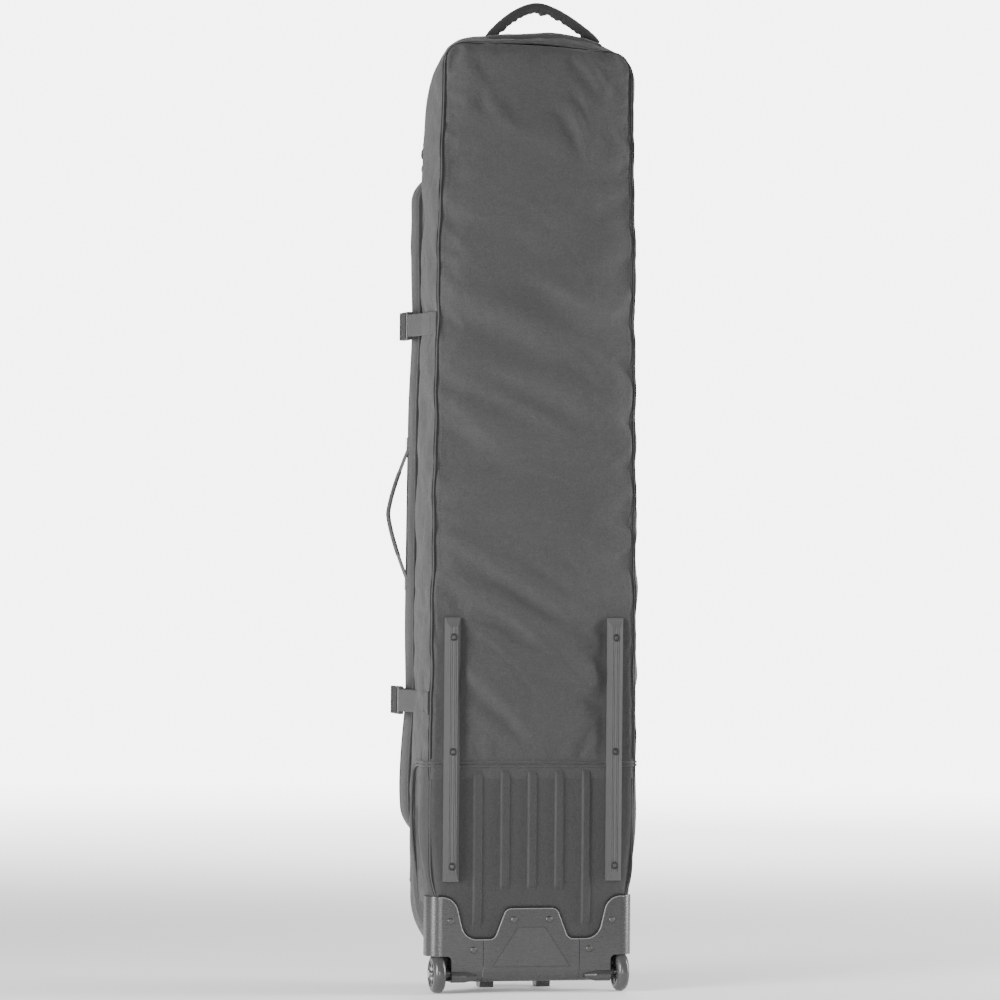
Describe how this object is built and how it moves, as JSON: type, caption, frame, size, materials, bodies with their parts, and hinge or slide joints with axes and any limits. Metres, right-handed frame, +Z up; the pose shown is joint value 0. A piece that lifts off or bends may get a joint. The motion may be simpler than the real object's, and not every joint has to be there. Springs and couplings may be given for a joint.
{
  "type": "wheeled snowboard bag",
  "caption": "Long padded wheeled bag for a snowboard, with a zipped lid, moulded base, skid rails, compression straps, haul handle and side carry handle.",
  "frame": {"origin": "on the floor, midway between the sides and under the middle of the bag's depth, where the bag stands on its wheels and front feet", "axes": "+Z up along the bag's length, +X to the right of somebody who looks at the back panel, +Y from the back panel to the lid"},
  "size_m": [0.3958, 0.2383, 1.68],
  "materials": {
    "fabric_case": "woven polyester, matt",
    "fabric_moulded": "moulded fabric, smooth matt",
    "binding": "matt binding tape",
    "board": "sheet board",
    "webbing": "ribbed webbing",
    "handle_fabric": "woven polyester over foam",
    "base_plastic": "fine-grained satin moulding",
    "rail_plastic": "satin moulding",
    "rivet_metal": "satin cap",
    "axle_steel": "zinc plated",
    "tyre": "satin urethane",
    "hub_plastic": "satin",
    "buckle_plastic": "satin acetal",
    "zip_tape": "coil zip tape",
    "zip_metal": "dark plated"
  },
  "bodies": {
    "case": {"back_panel": "fabric_case", "back_stiffener": "board", "left_gusset": "fabric_case", "right_gusset": "fabric_case", "top_cap": "fabric_case", "top_hood_front": "fabric_case", "bottom_hood_front": "fabric_case", "toe_strip": "fabric_case", "lower_back_panel": "fabric_moulded", "panel_piping": "binding", "wheel_housing_left": "base_plastic", "wheel_housing_right": "base_plastic", "kick_plate_centre": "base_plastic", "front_foot_left": "base_plastic", "front_foot_right": "base_plastic", "base_rivets": "rivet_metal", "skid_rail_left": "rail_plastic", "skid_rail_right": "rail_plastic", "rail_rivets": "rivet_metal", "left_axle_bolt": "axle_steel", "right_axle_bolt": "axle_steel", "left_axle_nut": "axle_steel", "right_axle_nut": "axle_steel", "zip_tape_body": "zip_tape", "handle_patch": "binding", "upper_strap_tab": "webbing", "lower_strap_tab": "webbing", "upper_strap_anchor": "webbing", "lower_strap_anchor": "webbing", "upper_buckle_socket": "buckle_plastic", "lower_buckle_socket": "buckle_plastic"},
    "left_wheel": {"left_tyre": "tyre", "left_hub": "hub_plastic", "left_bearings": "axle_steel"},
    "right_wheel": {"right_tyre": "tyre", "right_hub": "hub_plastic", "right_bearings": "axle_steel"},
    "lid": {"lid_front": "fabric_case", "lid_gusset": "fabric_case", "zip_tape_lid": "zip_tape", "upper_strap": "webbing", "lower_strap": "webbing", "carry_handle_ends": "webbing"},
    "upper_latch": {"upper_buckle_latch": "buckle_plastic"},
    "lower_latch": {"lower_buckle_latch": "buckle_plastic"},
    "left_slider": {"zip_slider_left": "zip_metal"},
    "right_slider": {"zip_slider_right": "zip_metal"},
    "left_pull": {"zip_pull_left": "zip_metal"},
    "right_pull": {"zip_pull_right": "zip_metal"},
    "haul": {"haul_handle": "handle_fabric"},
    "carry": {"carry_handle": "webbing"}
  },
  "joints": [
    {"name": "left_wheel_spin", "type": "hinge", "parent": "case", "child": "left_wheel", "pos_m": [-0.16, -0.099, 0.033], "axis": [1, 0, 0], "continuous": true},
    {"name": "right_wheel_spin", "type": "hinge", "parent": "case", "child": "right_wheel", "pos_m": [0.16, -0.099, 0.033], "axis": [1, 0, 0], "continuous": true},
    {"name": "lid_hinge", "type": "hinge", "parent": "case", "child": "lid", "pos_m": [0.178, 0.036, 0.8255], "axis": [0, 0, -1], "range_deg": [0, 110]},
    {"name": "upper_latch_slide", "type": "slide", "parent": "lid", "child": "upper_latch", "axis": [0, 1, 0], "range_m": [0, 0.03]},
    {"name": "lower_latch_slide", "type": "slide", "parent": "lid", "child": "lower_latch", "axis": [0, 1, 0], "range_m": [0, 0.03]},
    {"name": "left_slider_run", "type": "slide", "parent": "case", "child": "left_slider", "axis": [-1, 0, 0], "range_m": [0, 0.1]},
    {"name": "right_slider_run", "type": "slide", "parent": "case", "child": "right_slider", "axis": [1, 0, 0], "range_m": [0, 0.1]},
    {"name": "left_pull_lift", "type": "hinge", "parent": "left_slider", "child": "left_pull", "pos_m": [-0.009, 0.045, 1.3974], "axis": [1, 0, 0], "range_deg": [0, 85]},
    {"name": "right_pull_lift", "type": "hinge", "parent": "right_slider", "child": "right_pull", "pos_m": [0.009, 0.045, 1.3974], "axis": [1, 0, 0], "range_deg": [0, 85]},
    {"name": "haul_handle_tilt", "type": "hinge", "parent": "case", "child": "haul", "pos_m": [0.018, -0.072, 1.622], "axis": [1, 0, 0], "range_deg": [-45, 45], "stiffness_Nm_per_rad": 0.4},
    {"name": "carry_handle_swing", "type": "hinge", "parent": "lid", "child": "carry", "pos_m": [-0.19, 0.076, 0.81], "axis": [0, 0, 1], "range_deg": [-20, 20]}
  ]
}
